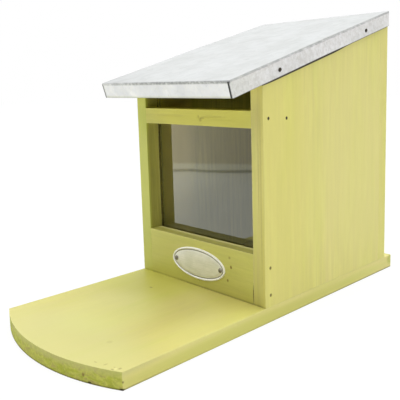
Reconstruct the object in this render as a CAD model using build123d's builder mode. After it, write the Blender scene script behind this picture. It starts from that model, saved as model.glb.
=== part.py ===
"""Squirrel feeder: a painted wooden box with a landing board, a clear front pane and a hinged metal-clad lid.

Millimetres, +Z up. The landing board points towards -Y, and the hinges are at the +Y end.
The origin is on the underside, at the middle of the whole feeder's length and width.
"""

import os
from math import cos, radians, sin, tan

from build123d import *

os.makedirs("parts", exist_ok=True)

# Boards
board_thickness = 12.0
house_width = 150.0
house_depth = 171.0
landing_length = 128.0
landing_bow = 17.0
rear_ledge = 12.0
eased_edge = 0.3
fit_gap = 0.05
overrun = 5.0

# Front of the house
front_panel_top = 52.0
feeding_slot_height = 19.0
rail_height = 13.0
batten_depth = 20.0
batten_drop = 1.0
batten_gap = 0.5

# Clear pane in its saw kerfs
pane_thickness = 2.0
pane_setback = 2.0
pane_top_drop = 2.0
pane_corner = 1.0
kerf_depth = 4.0
kerf_play = 0.3
kerf_end_play = 0.5

# Lid
roof_slope = 16.3
lid_overhang_front = 35.0
lid_front_height = 182.5
lid_overhang_side = 1.0
lid_gap = 0.6
sheet_thickness = 0.6
sheet_slack = 0.1
flange_depth = 12.8
bend_radius = 1.2
corner_slit = 0.5
flange_corner = 2.6

# Hinges
hinge_length = 25.0
hinge_leaf_width = 11.5
hinge_leaf_thickness = 0.9
hinge_inset = 30.0
barrel_radius = 2.0
barrel_clearance = 0.4
knuckle_gap = 0.3
hinge_pin_radius = 1.0
hinge_pin_head_radius = 1.6
hinge_pin_head = 0.6
leaf_corner = 1.5
leaf_screw_inset = 5.0
leaf_screw_reach = 7.2

# Oval plate
plate_width = 64.0
plate_height = 26.4
plate_thickness = 0.7
plate_rim_width = 1.7
plate_rim_height = 0.5
plate_offset = 0.3
plate_middle_height = 32.0
plate_screw_inset = 5.0

# Small round-head screws, for the plate and the hinges
small_screw_radius = 1.2
small_screw_length = 9.5
small_head_radius = 2.0
small_head_height = 1.1
driver_slot_width = 0.6
driver_slot_depth = 0.5

# Countersunk screws through the base
base_screw_radius = 1.75
base_screw_length = 30.0
base_screw_head_radius = 3.5
base_screw_head_height = 2.2
base_screw_sink = 0.4

# Nails
nail_radius = 0.8
nail_length = 25.0
nail_head_radius = 1.25
nail_head_height = 0.8
nail_sink = 0.3
roof_nail_length = 16.0
roof_nail_head_radius = 1.3
roof_nail_head_height = 0.5
roof_nail_drop = 8.1

# Screw holes for hanging the feeder on a wall or a tree
hanging_hole_radius = 2.5
hanging_hole_offset = 30.0
hanging_hole_drop = 39.0

# Places of fasteners, as shares of the piece that they hold
side_screw_shares = (0.18, 0.78)
panel_screw_share = 0.28
front_panel_nail_shares = (0.23, 0.76)
rail_nail_share = 0.57
batten_nail_share = 0.5
back_nail_shares = (0.12, 0.5, 0.86)
roof_nail_shares = (0.243, 0.8)

# Stations along the feeder
overall_length = landing_bow + landing_length + house_depth + rear_ledge
y_house = landing_bow + landing_length - overall_length / 2
y_back = y_house + house_depth
y_back_panel = y_back - board_thickness
y_pane = y_house + board_thickness + pane_setback
y_batten = y_pane + pane_thickness + batten_gap
y_lid_front = y_house - lid_overhang_front
inner_width = house_width - 2 * board_thickness
side_length = house_depth - board_thickness

# Levels of the sloping lid, measured square to the slope from the sheet's outer face
slope = radians(roof_slope)
lid_board_top = sheet_thickness
lid_board_bottom = sheet_thickness + board_thickness
house_top = lid_board_bottom + lid_gap


def lid_height(y, depth):
    """Height at y of the plane that lies at depth under the sheet's outer face."""
    return lid_front_height + (y - y_lid_front) * tan(slope) - depth / cos(slope)


def on_slope(along, depth):
    """Point (y, z) at a distance along the slope from the lid's front edge, and at a depth under its face."""
    return (
        y_lid_front + along * cos(slope) + depth * sin(slope),
        lid_front_height + along * sin(slope) - depth * cos(slope),
    )


# The rail leaves the feeding slot open under the lid
house_front_top = lid_height(y_house, house_top)
house_back_top = lid_height(y_back, house_top)
rail_top = house_front_top - feeding_slot_height
rail_bottom = rail_top - rail_height

# The hinge axis lies behind the joint between the lid and the back panel
y_hinge = y_back + barrel_radius + barrel_clearance
z_hinge = (house_back_top + lid_height(y_back, flange_depth)) / 2
hinge_places = {"left": hinge_inset - house_width / 2, "right": house_width / 2 - hinge_inset}

# Faces that fasteners are driven into: each plane's normal points out of the wood
side_faces = {
    "left": Plane(origin=(-house_width / 2, 0, 0), x_dir=(0, -1, 0), z_dir=(-1, 0, 0)),
    "right": Plane(origin=(house_width / 2, 0, 0), x_dir=(0, 1, 0), z_dir=(1, 0, 0)),
}
front_face = Plane(origin=(0, y_house, 0), x_dir=(1, 0, 0), z_dir=(0, -1, 0))
back_face = Plane(origin=(0, y_back, 0), x_dir=(-1, 0, 0), z_dir=(0, 1, 0))
under_face = Plane(origin=(0, 0, 0), x_dir=(1, 0, 0), z_dir=(0, 0, -1))


def seat(face, place):
    """Plane parallel to a face, with its origin at a point of the world."""
    return Plane(origin=place, x_dir=face.x_dir, z_dir=face.z_dir)


# Places of the fasteners' heads on the outer faces
front_panel_height = front_panel_top - board_thickness
side_nail_yz = [
    (y_house + board_thickness / 2, rail_bottom + rail_nail_share * rail_height),
    (y_batten + batten_depth / 2, rail_bottom + batten_nail_share * rail_height),
    (y_house + board_thickness / 2, board_thickness + front_panel_nail_shares[0] * front_panel_height),
    (y_house + board_thickness / 2, board_thickness + front_panel_nail_shares[1] * front_panel_height),
]
back_panel_height = house_back_top - board_thickness
back_nail_heights = [board_thickness + share * back_panel_height for share in back_nail_shares]
back_nail_places = [
    (side * (house_width - board_thickness) / 2, y_back, height)
    for side in (-1, 1)
    for height in back_nail_heights
]
base_screw_places = [
    (side * (house_width - board_thickness) / 2, y_house + share * side_length, 0)
    for side in (-1, 1)
    for share in side_screw_shares
]
base_screw_places += [
    (side * panel_screw_share * inner_width, y, 0)
    for side in (-1, 1)
    for y in (y_house + board_thickness / 2, y_back - board_thickness / 2)
]
plate_screw_places = [
    (plate_offset + side * (plate_width / 2 - plate_screw_inset), y_house, plate_middle_height)
    for side in (-1, 1)
]
leaf_screw_x = [
    x + side * (hinge_length / 2 - leaf_screw_inset) for x in hinge_places.values() for side in (-1, 1)
]
fixed_leaf_screw_places = [(x, y_back, z_hinge - leaf_screw_reach) for x in leaf_screw_x]
moving_leaf_screw_places = [(x, y_back, z_hinge + leaf_screw_reach) for x in leaf_screw_x]
hanging_hole_height = house_back_top - hanging_hole_drop
hanging_hole_places = [(side * hanging_hole_offset, y_back, hanging_hole_height) for side in (-1, 1)]
lid_half_width = house_width / 2 + lid_overhang_side
sheet_half_width = lid_half_width + sheet_slack + sheet_thickness
lid_run = (y_back - y_lid_front) / cos(slope)
roof_nail_yz = [on_slope(share * lid_run, roof_nail_drop) for share in roof_nail_shares]


def bore(face, radius, depth):
    """Round hole from a face inwards, with an overrun outwards."""
    with BuildSketch(face.offset(overrun)) as mouth:
        Circle(radius)
    extrude(mouth.sketch, amount=-(depth + overrun), mode=Mode.SUBTRACT)


def nail_hole(face):
    """Hole for a sunk nail: the recess of its head, and its shank."""
    bore(face, nail_head_radius + fit_gap, nail_sink + nail_head_height)
    bore(face, nail_radius + fit_gap, nail_sink + nail_length + fit_gap)


def base_screw_hole(place):
    """Hole in a wall of the house for the shank of a screw that comes up through the base."""
    bore(seat(under_face, place), base_screw_radius + fit_gap, base_screw_sink + base_screw_length + fit_gap)


def slab(outline, face, thickness):
    """Flat board with the outline of (x, y) points in a plane, on the side that the plane faces."""
    with BuildSketch(face) as section:
        with BuildLine():
            Polyline(*outline, close=True)
        make_face()
    extrude(section.sketch, amount=thickness)


def save(part, name):
    """Label a finished piece and write it."""
    part.label = name
    export_step(part, "parts/" + name + ".step")


# Fasteners, each made once with its seat at the origin and its head towards +Z
with BuildPart() as small_screw:
    with BuildSketch():
        Circle(small_head_radius)
    extrude(amount=small_head_height)
    fillet(small_screw.edges().group_by(Axis.Z)[-1], small_head_height - fit_gap)
    with BuildSketch(Plane.XY.offset(small_head_height)):
        Rectangle(small_head_radius * 2, driver_slot_width)
    extrude(amount=-driver_slot_depth, mode=Mode.SUBTRACT)
    with BuildSketch():
        Circle(small_screw_radius)
    extrude(amount=-small_screw_length)

with BuildPart() as base_screw:
    with BuildSketch():
        Circle(base_screw_head_radius)
    with BuildSketch(Plane.XY.offset(-base_screw_head_height)):
        Circle(base_screw_radius)
    loft()
    with BuildSketch(Plane.XY.offset(-base_screw_head_height)):
        Circle(base_screw_radius)
    extrude(amount=base_screw_head_height - base_screw_length)
    with BuildSketch():
        Rectangle(base_screw_head_radius, driver_slot_width)
        Rectangle(driver_slot_width, base_screw_head_radius)
    extrude(amount=-2 * driver_slot_depth, mode=Mode.SUBTRACT)

with BuildPart() as side_nail:
    with BuildSketch():
        Circle(nail_head_radius)
    extrude(amount=-nail_head_height)
    with BuildSketch():
        Circle(nail_radius)
    extrude(amount=-nail_length)

with BuildPart() as roof_nail:
    with BuildSketch():
        Circle(roof_nail_head_radius)
    extrude(amount=roof_nail_head_height)
    with BuildSketch():
        Circle(nail_radius)
    extrude(amount=-roof_nail_length)

# Base board: its front edge is an arc through both front corners, and its rear end is a ledge
with BuildPart() as base_board:
    with BuildSketch():
        with BuildLine():
            ThreePointArc(
                (-house_width / 2, y_house - landing_length),
                (0, y_house - landing_length - landing_bow),
                (house_width / 2, y_house - landing_length),
            )
            Polyline(
                (house_width / 2, y_house - landing_length),
                (house_width / 2, y_back + rear_ledge),
                (-house_width / 2, y_back + rear_ledge),
                (-house_width / 2, y_house - landing_length),
            )
        make_face()
    extrude(amount=board_thickness)
    fillet(base_board.edges(), eased_edge)
    for place in base_screw_places:
        face = seat(under_face, place)
        bore(face, base_screw_radius + fit_gap, board_thickness + overrun)
        bore(face, base_screw_head_radius + fit_gap, base_screw_sink)
        with BuildSketch(face.offset(-base_screw_sink)):
            Circle(base_screw_head_radius + fit_gap)
        with BuildSketch(face.offset(-base_screw_sink - base_screw_head_height)):
            Circle(base_screw_radius + fit_gap)
        loft(mode=Mode.SUBTRACT)
save(base_board.part, "base_board")

# Side panels: their tops follow the lid, and each has a saw kerf for the pane from top to bottom
side_outline = [
    (y_house, board_thickness),
    (y_back_panel, board_thickness),
    (y_back_panel, lid_height(y_back_panel, house_top)),
    (y_house, house_front_top),
]
for name, face in side_faces.items():
    side = face.z_dir.X
    with BuildPart() as side_panel:
        slab(side_outline, Plane.YZ.offset(side * house_width / 2), -side * board_thickness)
        fillet(side_panel.edges(), eased_edge)
        with BuildSketch(Plane.YZ.offset(side * (inner_width / 2 - overrun))):
            with Locations((y_pane + pane_thickness / 2, lid_front_height / 2)):
                Rectangle(pane_thickness + 2 * kerf_play, lid_front_height * 2)
        extrude(amount=side * (overrun + kerf_depth), mode=Mode.SUBTRACT)
        for y, z in side_nail_yz:
            nail_hole(seat(face, (side * house_width / 2, y, z)))
        for place in back_nail_places:
            if place[0] * side > 0:
                nail_hole(seat(back_face, place))
        for place in base_screw_places:
            if place[0] * side > inner_width / 2:
                base_screw_hole(place)
    save(side_panel.part, "side_panel_" + name)

# Back panel, across the rear ends of both side panels
back_outline = [
    (y_back_panel, board_thickness),
    (y_back, board_thickness),
    (y_back, house_back_top),
    (y_back_panel, lid_height(y_back_panel, house_top)),
]
with BuildPart() as back_panel:
    slab(back_outline, Plane.YZ.offset(-house_width / 2), house_width)
    fillet(back_panel.edges(), eased_edge)
    for place in back_nail_places:
        nail_hole(seat(back_face, place))
    for place in fixed_leaf_screw_places:
        bore(seat(back_face, place), small_screw_radius + fit_gap, small_screw_length)
    for place in hanging_hole_places:
        bore(seat(back_face, place), hanging_hole_radius, board_thickness + overrun)
    for place in base_screw_places:
        if place[1] > y_back_panel:
            base_screw_hole(place)
save(back_panel.part, "back_panel")


def crosspiece(bottom, top, front, depth):
    """Eased strip of wood between the side panels."""
    with BuildSketch(Plane.XY.offset(bottom)) as footprint:
        with Locations((0, front + depth / 2)):
            Rectangle(inner_width, depth)
    extrude(footprint.sketch, amount=top - bottom)
    fillet(edges(), eased_edge)


def side_nail_holes(places):
    """Holes for the side nails at both ends of a crosspiece."""
    for face in side_faces.values():
        for y, z in places:
            nail_hole(seat(face, (face.z_dir.X * house_width / 2, y, z)))


# Strips between the side panels: the lower front panel, the top rail and the batten behind the pane
with BuildPart() as front_panel:
    crosspiece(board_thickness, front_panel_top, y_house, board_thickness)
    side_nail_holes(side_nail_yz[2:])
    for place in plate_screw_places:
        bore(seat(front_face, place), small_screw_radius + fit_gap, small_screw_length)
    for place in base_screw_places:
        if place[1] < y_house + board_thickness:
            base_screw_hole(place)
save(front_panel.part, "front_panel")

with BuildPart() as top_rail:
    crosspiece(rail_bottom, rail_top, y_house, board_thickness)
    side_nail_holes(side_nail_yz[:1])
save(top_rail.part, "top_rail")

with BuildPart() as pane_batten:
    crosspiece(rail_bottom, rail_top - batten_drop, y_batten, batten_depth)
    side_nail_holes(side_nail_yz[1:2])
save(pane_batten.part, "pane_batten")

# Clear pane, which slides up in the kerfs
pane_top = rail_top - pane_top_drop
pane_width = inner_width + 2 * (kerf_depth - kerf_end_play)
with BuildPart() as window_pane:
    with BuildSketch(Plane.XZ.offset(-y_pane)):
        with Locations((0, (board_thickness + pane_top) / 2)):
            RectangleRounded(pane_width, pane_top - board_thickness, pane_corner)
    extrude(amount=-pane_thickness)
save(window_pane.part, "window_pane")

# Bare oval plate with a raised rim
plate_face = seat(front_face, (plate_offset, y_house, plate_middle_height))
with BuildPart() as oval_plate:
    with BuildSketch(plate_face):
        Ellipse(plate_width / 2, plate_height / 2)
    extrude(amount=plate_thickness)
    with BuildSketch(plate_face.offset(plate_thickness)):
        Ellipse(plate_width / 2, plate_height / 2)
        Ellipse(plate_width / 2 - plate_rim_width, plate_height / 2 - plate_rim_width, mode=Mode.SUBTRACT)
    extrude(amount=plate_rim_height)
    for place in plate_screw_places:
        bore(seat(front_face, place), small_screw_radius + fit_gap, overrun)
save(oval_plate.part, "oval_plate")

# Lid board under the folded sheet: its front end is square to the slope, and its rear end is plumb
board_front = sheet_thickness + sheet_slack
board_back = y_back - sheet_thickness - sheet_slack
lid_board_outline = [
    on_slope(board_front, lid_board_bottom),
    on_slope(board_front, lid_board_top),
    (board_back, lid_height(board_back, lid_board_top)),
    (board_back, lid_height(board_back, lid_board_bottom)),
]
with BuildPart() as lid_board:
    slab(lid_board_outline, Plane.YZ.offset(-lid_half_width), 2 * lid_half_width)
    fillet(lid_board.edges(), bend_radius)
    for face in side_faces.values():
        for y, z in roof_nail_yz:
            place = (face.z_dir.X * sheet_half_width, y, z)
            bore(seat(face, place), nail_radius + fit_gap, roof_nail_length + fit_gap)
    for place in moving_leaf_screw_places:
        bore(seat(back_face, place), small_screw_radius + fit_gap, small_screw_length)
save(lid_board.part, "lid_board")


def lid_block(inset, depth):
    """Solid under the sheet's faces moved in by an inset, as deep as depth under its outer face."""
    outline = [
        on_slope(inset, depth),
        on_slope(inset, inset),
        (y_back - inset, lid_height(y_back - inset, inset)),
        (y_back - inset, lid_height(y_back - inset, depth)),
    ]
    half_width = sheet_half_width - inset
    with BuildPart() as block:
        slab(outline, Plane.YZ.offset(-half_width), 2 * half_width)
        top = block.faces().sort_by(Axis.Z)[-1]
        fillet(top.edges(), bend_radius - inset)
    return block.part


# Folded sheet: front flange square to the slope, plumb rear flange, corners left open at the front and closed
# at the back
slit_outline = [
    on_slope(sheet_thickness, flange_depth + overrun),
    on_slope(sheet_thickness, 2 * bend_radius),
    on_slope(sheet_thickness + corner_slit, 2 * bend_radius),
    on_slope(sheet_thickness + corner_slit, flange_depth + overrun),
]
front_flange_corner = Plane(
    origin=(-sheet_half_width, *on_slope(0, flange_depth)),
    x_dir=(1, 0, 0),
    z_dir=(0, -cos(slope), -sin(slope)),
)
with BuildPart() as roof_sheet:
    add(lid_block(0, flange_depth))
    add(lid_block(sheet_thickness, flange_depth + overrun), mode=Mode.SUBTRACT)
    for face in side_faces.values():
        side = face.z_dir.X
        slit_start = side * (sheet_half_width - sheet_thickness - sheet_slack)
        with BuildSketch(Plane.YZ.offset(slit_start)):
            with BuildLine():
                Polyline(*slit_outline, close=True)
            make_face()
        extrude(amount=side * overrun, mode=Mode.SUBTRACT)
        for y, z in roof_nail_yz:
            bore(seat(face, (side * sheet_half_width, y, z)), nail_radius + fit_gap, 2 * sheet_thickness)
    for place in moving_leaf_screw_places:
        bore(seat(back_face, place), small_screw_radius + fit_gap, 2 * sheet_thickness)
    with BuildSketch(front_flange_corner):
        Rectangle(flange_corner, flange_corner, align=(Align.MIN, Align.MIN))
        with Locations((flange_corner, flange_corner)):
            Circle(flange_corner, mode=Mode.SUBTRACT)
    extrude(amount=-overrun, mode=Mode.SUBTRACT)
save(roof_sheet.part, "roof_sheet")

# Hinges: the fixed leaf hangs on the back panel with the two outer knuckles, and the moving leaf stands up
# on the lid's rear flange with the middle one
knuckle_length = (hinge_length - 2 * knuckle_gap) / 3
knuckle_pitch = knuckle_length + knuckle_gap
leaf_start = barrel_radius + barrel_clearance


def hinge_leaf(x, direction, knuckles):
    """Leaf on the rear face, below the axis for direction -1 or above it for 1, with the given knuckles."""
    leaf_height = hinge_leaf_width - leaf_start
    middle = z_hinge + direction * (leaf_start + leaf_height / 2)
    with BuildSketch(seat(back_face, (x, y_back, middle))) as leaf:
        Rectangle(hinge_length, leaf_height)
    extrude(leaf.sketch, amount=hinge_leaf_thickness)
    outer = edges().filter_by(Axis.Y).group_by(Axis.Z)[0 if direction < 0 else -1]
    fillet(outer, leaf_corner)
    for knuckle in knuckles:
        start = x + knuckle * knuckle_pitch - knuckle_length / 2
        with BuildSketch(Plane.YZ.offset(start)) as curl:
            with Locations((y_hinge, z_hinge)):
                Circle(barrel_radius)
            with Locations((y_back + hinge_leaf_thickness / 2, z_hinge + direction * leaf_start / 2)):
                Rectangle(hinge_leaf_thickness, leaf_start)
        extrude(curl.sketch, amount=knuckle_length)
    with BuildSketch(Plane.YZ.offset(x - hinge_length)) as pin_way:
        with Locations((y_hinge, z_hinge)):
            Circle(hinge_pin_radius + fit_gap)
    extrude(pin_way.sketch, amount=2 * hinge_length, mode=Mode.SUBTRACT)


for name, x in hinge_places.items():
    with BuildPart() as hinge_leaf_fixed:
        hinge_leaf(x, -1, (-1, 1))
        for place in fixed_leaf_screw_places:
            if abs(place[0] - x) < hinge_length:
                bore(seat(back_face, place), small_screw_radius + fit_gap, overrun)
    save(hinge_leaf_fixed.part, "hinge_leaf_fixed_" + name)

    with BuildPart() as hinge_leaf_moving:
        hinge_leaf(x, 1, (0,))
        for place in moving_leaf_screw_places:
            if abs(place[0] - x) < hinge_length:
                bore(seat(back_face, place), small_screw_radius + fit_gap, overrun)
    save(hinge_leaf_moving.part, "hinge_leaf_moving_" + name)

    with BuildPart() as hinge_pin:
        with BuildSketch(Plane.YZ.offset(x - hinge_length / 2)):
            with Locations((y_hinge, z_hinge)):
                Circle(hinge_pin_radius)
        extrude(amount=hinge_length)
        for end in (-1, 1):
            with BuildSketch(Plane.YZ.offset(x + end * hinge_length / 2)):
                with Locations((y_hinge, z_hinge)):
                    Circle(hinge_pin_head_radius)
            extrude(amount=end * hinge_pin_head)
    save(hinge_pin.part, "hinge_pin_" + name)

# Fasteners in their places: each set is one node of separate pieces
fastener_sets = {
    "plate_screws": (small_screw, front_face, plate_screw_places, plate_thickness),
    "hinge_screws_fixed": (small_screw, back_face, fixed_leaf_screw_places, hinge_leaf_thickness),
    "hinge_screws_moving": (small_screw, back_face, moving_leaf_screw_places, hinge_leaf_thickness),
    "base_screws": (base_screw, under_face, base_screw_places, -base_screw_sink),
    "back_nails": (side_nail, back_face, back_nail_places, -nail_sink),
}
for name, face in side_faces.items():
    side = face.z_dir.X
    side_places = [(side * house_width / 2, y, z) for y, z in side_nail_yz]
    roof_places = [(side * sheet_half_width, y, z) for y, z in roof_nail_yz]
    fastener_sets["side_nails_" + name] = (side_nail, face, side_places, -nail_sink)
    fastener_sets["roof_nails_" + name] = (roof_nail, face, roof_places, 0)

for name, (fastener, face, places, lift) in fastener_sets.items():
    with BuildPart() as fasteners:
        with Locations(*[seat(face, place).offset(lift) for place in places]):
            add(fastener.part)
    save(fasteners.part, name)
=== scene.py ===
"""Squirrel feeder: finishes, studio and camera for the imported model. Metres, Z up, landing board at -Y."""

from math import cos, pi, radians, sin, tan

import bmesh
import bpy
from mathutils import Matrix, Vector


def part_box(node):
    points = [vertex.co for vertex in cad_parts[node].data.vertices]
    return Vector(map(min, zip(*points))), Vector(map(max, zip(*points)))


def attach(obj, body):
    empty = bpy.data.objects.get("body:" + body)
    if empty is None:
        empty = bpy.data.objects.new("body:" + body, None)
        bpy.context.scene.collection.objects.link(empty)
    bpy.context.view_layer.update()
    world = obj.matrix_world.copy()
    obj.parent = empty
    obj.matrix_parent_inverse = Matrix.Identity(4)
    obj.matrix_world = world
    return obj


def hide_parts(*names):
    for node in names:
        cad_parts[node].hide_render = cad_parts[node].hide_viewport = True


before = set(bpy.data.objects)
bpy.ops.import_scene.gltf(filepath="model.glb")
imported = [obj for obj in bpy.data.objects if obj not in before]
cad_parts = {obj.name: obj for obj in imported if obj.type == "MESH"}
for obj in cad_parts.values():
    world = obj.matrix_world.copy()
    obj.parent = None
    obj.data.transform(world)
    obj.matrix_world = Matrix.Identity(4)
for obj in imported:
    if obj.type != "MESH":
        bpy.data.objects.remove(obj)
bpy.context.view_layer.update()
bpy.ops.object.select_all(action="DESELECT")

MM = 0.001
PER_METRE = 1000.0


def srgb(red, green, blue):
    """Linear colour of an 8-bit screen colour."""
    def linear(level):
        share = level / 255
        return share / 12.92 if share <= 0.04045 else ((share + 0.055) / 1.055) ** 2.4
    return (linear(red), linear(green), linear(blue), 1.0)


class Value:
    """A shader socket that Python's operators work on: each adds a Math node."""

    def __init__(self, finish, socket):
        self.finish = finish
        self.socket = socket

    def maths(self, operation, *values):
        return self.finish.add("Math", {"operation": operation}, dict(enumerate(values)))

    def __add__(self, other):
        return self.maths("ADD", self, other)

    def __radd__(self, other):
        return self.maths("ADD", other, self)

    def __sub__(self, other):
        return self.maths("SUBTRACT", self, other)

    def __rsub__(self, other):
        return self.maths("SUBTRACT", other, self)

    def __mul__(self, other):
        return self.maths("MULTIPLY", self, other)

    def __rmul__(self, other):
        return self.maths("MULTIPLY", other, self)

    def __truediv__(self, other):
        return self.maths("DIVIDE", self, other)

    def __pow__(self, other):
        return self.maths("POWER", self, other)

    def __abs__(self):
        return self.maths("ABSOLUTE", self)

    def lower(self, other):
        return self.maths("MINIMUM", self, other)

    def higher(self, other):
        return self.maths("MAXIMUM", self, other)

    def ramp(self, start, end, bottom=0.0, top=1.0):
        """Smooth step from bottom at start to top at end."""
        inputs = {"Value": self, "From Min": start, "From Max": end, "To Min": bottom, "To Max": top}
        return self.finish.add("MapRange", {"interpolation_type": "SMOOTHSTEP"}, inputs)


class Finish:
    """A node material or world, built by adding nodes in plain calls."""

    def __init__(self, owner):
        self.owner = owner
        owner.use_nodes = True
        self.tree = owner.node_tree
        self.tree.nodes.clear()

    def add(self, kind, settings=None, inputs=None, output=0):
        """Adds a node, sets it up, feeds its sockets, and returns one of its outputs."""
        node = self.tree.nodes.new("ShaderNode" + kind)
        for name, setting in (settings or {}).items():
            setattr(node, name, setting)
        for name, value in (inputs or {}).items():
            if isinstance(value, Value):
                self.tree.links.new(value.socket, node.inputs[name])
            else:
                node.inputs[name].default_value = value
        return Value(self, node.outputs[output])

    def place(self, cell=(1.0, 1.0, 1.0), offset=(0.0, 0.0, 0.0)):
        """Object coordinates in cells, each so many millimetres long, shifted by so many cells."""
        spot = self.add("TexCoord", output="Object")
        scale = [PER_METRE / size for size in cell]
        return self.add("Mapping", None, {"Vector": spot, "Location": offset, "Scale": scale})

    def axes(self, vector):
        """The three numbers of a vector."""
        return [self.add("SeparateXYZ", None, {0: vector}, output=axis) for axis in range(3)]

    def normal(self):
        """The three numbers of the surface's direction on the piece."""
        return self.axes(self.add("TexCoord", output="Normal"))

    def noise(self, vector, detail=2.0, roughness=0.5, distortion=0.0):
        """Soft noise from 0 to 1, one cell of the vector wide."""
        return self.add("TexNoise", None, {
            "Vector": vector,
            "Scale": 1.0,
            "Detail": detail,
            "Roughness": roughness,
            "Distortion": distortion,
        })

    def cloud(self, size, **looks):
        """Noise in even cells of so many millimetres."""
        return self.noise(self.place((size, size, size)), **looks)

    def mix(self, share, first, second, **settings):
        """Colour between two colours. The Mix node's colour sockets go by place, as names repeat on it."""
        settings["data_type"] = "RGBA"
        return self.add("Mix", settings, {0: share, 6: first, 7: second}, output=2)

    def tint(self, share, colour, shade):
        """Colour multiplied by a shade, as far as the share says."""
        return self.mix(share, colour, shade, blend_type="MULTIPLY")

    def shade(self, colour, factor):
        """Colour made lighter or darker by a factor."""
        return self.add("VectorMath", {"operation": "SCALE"}, {0: colour, "Scale": factor})

    def distance(self, vector, centre, stretch=(1.0, 1.0, 1.0)):
        """Distance from a centre, each axis divided by its stretch."""
        offset = [-middle / size for middle, size in zip(centre, stretch)]
        scale = [1 / size for size in stretch]
        local = self.add("Mapping", None, {"Vector": vector, "Location": offset, "Scale": scale})
        return self.add("VectorMath", {"operation": "LENGTH"}, {0: local}, output="Value")

    def blend(self, share, first, second):
        """Shader between two shaders."""
        return self.add("MixShader", None, {0: share, 1: first, 2: second})

    def bump(self, height, depth, strength):
        """Normal that stands for a height of so many metres."""
        return self.add("Bump", None, {"Strength": strength, "Distance": depth, "Height": height})

    def end(self, shader):
        """Joins the last shader to the output."""
        kind = "OutputWorld" if isinstance(self.owner, bpy.types.World) else "OutputMaterial"
        output = self.tree.nodes.new("ShaderNode" + kind)
        self.tree.links.new(shader.socket, output.inputs["Surface"])
        return self.owner


def finish(name):
    """A new, empty material."""
    return Finish(bpy.data.materials.new(name))


def wear(piece, material):
    """Gives a piece its one material."""
    piece.data.materials.clear()
    piece.data.materials.append(material)
    for polygon in piece.data.polygons:
        polygon.material_index = 0


# Tools for the pieces that are modelled here. Places closer together than a hair are the same
HAIR = 0.02 * MM


def begin(name, primitive, **settings):
    """Adds a primitive on its own, in edit mode with all of it selected."""
    bpy.ops.object.select_all(action="DESELECT")
    primitive(**settings)
    piece = bpy.context.object
    piece.name = name
    bpy.ops.object.mode_set(mode="EDIT")
    bpy.ops.mesh.select_all(action="SELECT")
    return piece


def choose(piece, kind, test):
    """Selects only the vertices or edges that pass the test."""
    bpy.ops.mesh.select_mode(type=kind)
    bpy.ops.mesh.select_all(action="DESELECT")
    mesh = bmesh.from_edit_mesh(piece.data)
    for item in {"VERT": mesh.verts, "EDGE": mesh.edges}[kind]:
        if test(item):
            item.select_set(True)
    bmesh.update_edit_mesh(piece.data)


def choose_edges(piece, test):
    """Selects only the edges whose two ends both pass the test of a place."""
    choose(piece, "EDGE", lambda edge: all(test(end.co) for end in edge.verts))


def draw_out(x=0.0, y=0.0, z=0.0):
    """Extrudes what is selected."""
    bpy.ops.mesh.extrude_region_move(TRANSFORM_OT_translate={"value": (x, y, z)})


def shift(x=0.0, y=0.0, z=0.0, reach=None):
    """Moves what is selected, and with a reach also what lies near it, less and less."""
    soft = {"use_proportional_edit": True, "proportional_size": reach} if reach else {}
    bpy.ops.transform.translate(value=(x, y, z), **soft)


def mend():
    """Joins doubled corners and turns all faces outwards."""
    bpy.ops.mesh.select_all(action="SELECT")
    bpy.ops.mesh.remove_doubles(threshold=HAIR)
    bpy.ops.mesh.normals_make_consistent(inside=False)


def treat(piece, kind, **settings):
    """Adds a modifier and applies it."""
    modifier = piece.modifiers.new(kind.lower(), kind)
    for name, setting in settings.items():
        setattr(modifier, name, setting)
    bpy.ops.object.modifier_apply(modifier=modifier.name)


def settle(piece, turn=(0.0, 0.0, 0.0), place=(0.0, 0.0, 0.0), angle=35):
    """Puts a piece in its place, with its origin at the frame's, and smooths its round faces."""
    piece.rotation_euler = turn
    piece.location = place
    bpy.ops.object.transform_apply(location=True, rotation=True, scale=True)
    bpy.ops.object.shade_smooth_by_angle(angle=radians(angle))


def hand_over(piece, body, slot, material, *nodes):
    """Fastens a finished piece to its body in its material, and hides the nodes that it stands for."""
    wear(piece, material)
    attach(piece, body)
    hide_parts(*nodes)


# Folded sheet: its box gives its width and its two ends
sheet_low, sheet_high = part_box("roof_sheet")
ROOF_SLOPE = radians(16.3)
SHEET = 0.6 * MM
FOLD_RADIUS = 1.0 * MM
TAB = 1.2 * MM
SLIT = 0.7 * MM
BULGE = 0.5 * MM
BULGE_CORE = 8.0 * MM
BULGE_REACH = 50.0 * MM
WAVE = 0.25 * MM
WAVE_LENGTH = 55.0 * MM
FLANGE_ROWS = (1.3 * MM, 3.9 * MM, 3.8 * MM, 3.8 * MM)
ROOF_NAIL_SHARES = (0.243, 0.8)
ROOF_NAIL_DROP = 8.1
half_sheet = sheet_high.x
roof_depth = sheet_high.y - sheet_low.y
roof_front = Vector((0.0, sheet_low.y, sheet_high.z - roof_depth * tan(ROOF_SLOPE)))
roof_run = roof_depth / cos(ROOF_SLOPE)


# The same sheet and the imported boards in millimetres, as the finishes read places
def box_in_mm(node):
    """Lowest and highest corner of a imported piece."""
    return [corner * PER_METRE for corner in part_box(node)]


ROOF_EDGE = roof_front * PER_METRE
ROOF_RUN = roof_run * PER_METRE
ROOF_SIDE = half_sheet * PER_METRE
FLANGE = sum(FLANGE_ROWS) * PER_METRE
board_low, board_high = box_in_mm("base_board")
BOARD_TOP = board_high.z
RAIL_TOP = box_in_mm("top_rail")[1].z
HOUSE_FRONT = box_in_mm("side_panel_right")[0].y
INNER_SIDE = box_in_mm("side_panel_right")[0].x
OUTER_SIDE = box_in_mm("side_panel_right")[1].x
INNER_BACK = box_in_mm("back_panel")[0].y

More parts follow.
